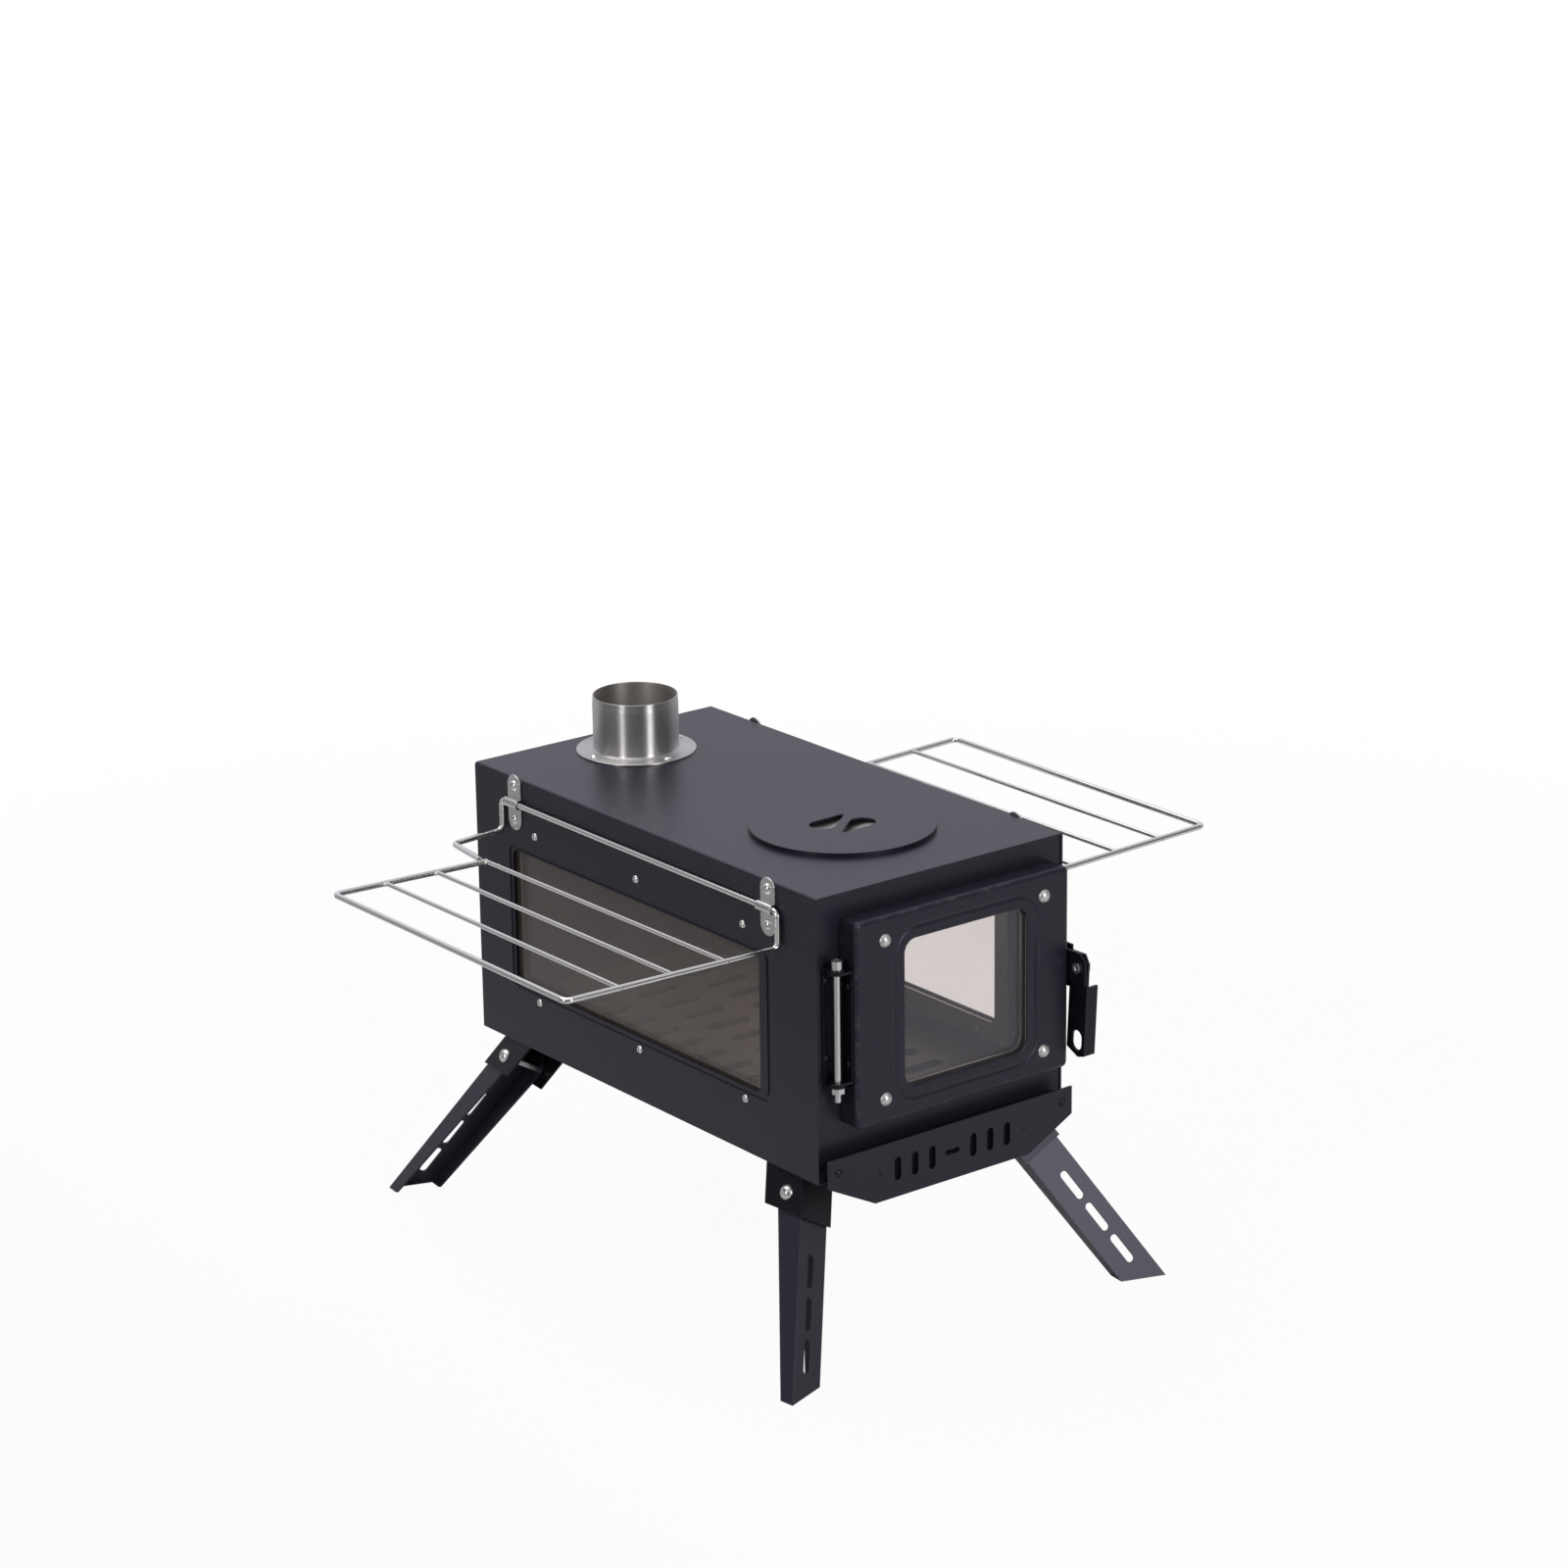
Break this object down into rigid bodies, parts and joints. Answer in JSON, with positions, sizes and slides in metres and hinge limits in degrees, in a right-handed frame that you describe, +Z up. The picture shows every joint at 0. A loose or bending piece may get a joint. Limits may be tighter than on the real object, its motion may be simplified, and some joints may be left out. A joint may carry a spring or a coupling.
{
  "type": "tent wood stove",
  "caption": "Small sheet-steel wood stove on folding splayed legs, with a glass door, long glass sides, round top lid, short flue collar, air control and fold-up wire side racks.",
  "frame": {"origin": "on the ground, midway between the four feet and under the middle of the firebox", "axes": "+X to the right seen from the door, +Y from the door to the back, +Z up"},
  "size_m": [0.541, 0.4662, 0.357],
  "materials": {
    "stove_paint": "high-heat satin black, faintly glossy on the top plate",
    "dark_paint": "black paint on brackets, latch and rivets",
    "leg_paint": "grey-black satin paint",
    "polished_steel": "bright polished stainless",
    "wire_steel": "drawn stainless wire and pressed strip",
    "screw_steel": "stainless screws, bolts and nuts",
    "inner_steel": "plain steel frames behind the glass",
    "smoked_glass": "heat-proof glass with a brown-grey tint",
    "glass_fibre": "flat woven glass-fibre seal",
    "grate_iron": "bare dark plate"
  },
  "bodies": {
    "stove": {"top_plate": "stove_paint", "side_wall_left": "stove_paint", "side_wall_right": "stove_paint", "front_panel": "stove_paint", "back_panel": "stove_paint", "floor_panel": "stove_paint", "grate": "grate_iron", "flue_collar": "polished_steel", "flue_rivets": "polished_steel", "side_glass_left": "smoked_glass", "side_glass_right": "smoked_glass", "side_gasket_left": "glass_fibre", "side_gasket_right": "glass_fibre", "side_clamp_left": "inner_steel", "side_clamp_right": "inner_steel", "window_screws": "screw_steel", "rack_clips": "wire_steel", "rack_clip_screws": "screw_steel", "air_cover": "stove_paint", "air_cover_spacers": "dark_paint", "air_cover_rivets": "dark_paint", "air_guides": "dark_paint", "hinge_body_bracket": "dark_paint", "hinge_body_rivets": "dark_paint", "hinge_pin": "screw_steel", "hinge_nut": "screw_steel", "latch_keeper": "dark_paint", "keeper_rivets": "dark_paint", "leg_bracket_front_left": "dark_paint", "leg_bracket_front_right": "dark_paint", "leg_bracket_back_left": "dark_paint", "leg_bracket_back_right": "dark_paint", "leg_bracket_rivets": "dark_paint", "leg_bolts": "screw_steel", "leg_nuts": "screw_steel"},
    "door": {"door_pan": "stove_paint", "door_gasket": "glass_fibre", "door_glass": "smoked_glass", "door_glass_gasket": "glass_fibre", "door_glass_frame": "inner_steel", "door_screws": "screw_steel", "hinge_door_bracket": "dark_paint", "hinge_door_rivets": "dark_paint", "latch_bracket": "dark_paint", "latch_rivets": "dark_paint", "latch_bolt": "screw_steel"},
    "latch": {"latch_handle": "dark_paint"},
    "slider": {"air_slider": "dark_paint"},
    "lid": {"lid_plate": "stove_paint", "lid_ring": "inner_steel", "lid_cup": "polished_steel"},
    "left_rack": {"rack_left": "wire_steel", "rack_bars_left": "wire_steel"},
    "right_rack": {"rack_right": "wire_steel", "rack_bars_right": "wire_steel"},
    "leg_fl": {"leg_front_left": "leg_paint"},
    "leg_fr": {"leg_front_right": "leg_paint"},
    "leg_bl": {"leg_back_left": "leg_paint"},
    "leg_br": {"leg_back_right": "leg_paint"}
  },
  "joints": [
    {"name": "door_hinge", "type": "hinge", "parent": "stove", "child": "door", "pos_m": [-0.0933, -0.1977, 0.23], "axis": [0, 0, -1], "range_deg": [0, 120]},
    {"name": "latch_pivot", "type": "hinge", "parent": "door", "child": "latch", "pos_m": [0.0988, -0.2147, 0.2315], "axis": [-1, 0, 0], "range_deg": [0, 75]},
    {"name": "air_slide", "type": "slide", "parent": "stove", "child": "slider", "axis": [1, 0, 0], "range_m": [0, 0.008]},
    {"name": "lid_lift", "type": "slide", "parent": "stove", "child": "lid", "axis": [0, 0, 1], "range_m": [0, 0.08]},
    {"name": "rack_left_fold", "type": "hinge", "parent": "stove", "child": "left_rack", "pos_m": [-0.106, 0, 0.2995], "axis": [0, 1, 0], "range_deg": [0, 100]},
    {"name": "rack_right_fold", "type": "hinge", "parent": "stove", "child": "right_rack", "pos_m": [0.106, 0, 0.2995], "axis": [0, -1, 0], "range_deg": [0, 100]},
    {"name": "leg_fl_fold", "type": "hinge", "parent": "stove", "child": "leg_fl", "pos_m": [-0.1055, -0.16, 0.1083], "axis": [0.8552, 0.105, -0.5075], "range_deg": [0, 110]},
    {"name": "leg_fr_fold", "type": "hinge", "parent": "stove", "child": "leg_fr", "pos_m": [0.1055, -0.16, 0.1083], "axis": [0.8552, -0.105, 0.5075], "range_deg": [0, 110]},
    {"name": "leg_bl_fold", "type": "hinge", "parent": "stove", "child": "leg_bl", "pos_m": [-0.1055, 0.16, 0.1083], "axis": [-0.8552, 0.105, 0.5075], "range_deg": [0, 110]},
    {"name": "leg_br_fold", "type": "hinge", "parent": "stove", "child": "leg_br", "pos_m": [0.1055, 0.16, 0.1083], "axis": [-0.8552, -0.105, -0.5075], "range_deg": [0, 110]}
  ]
}
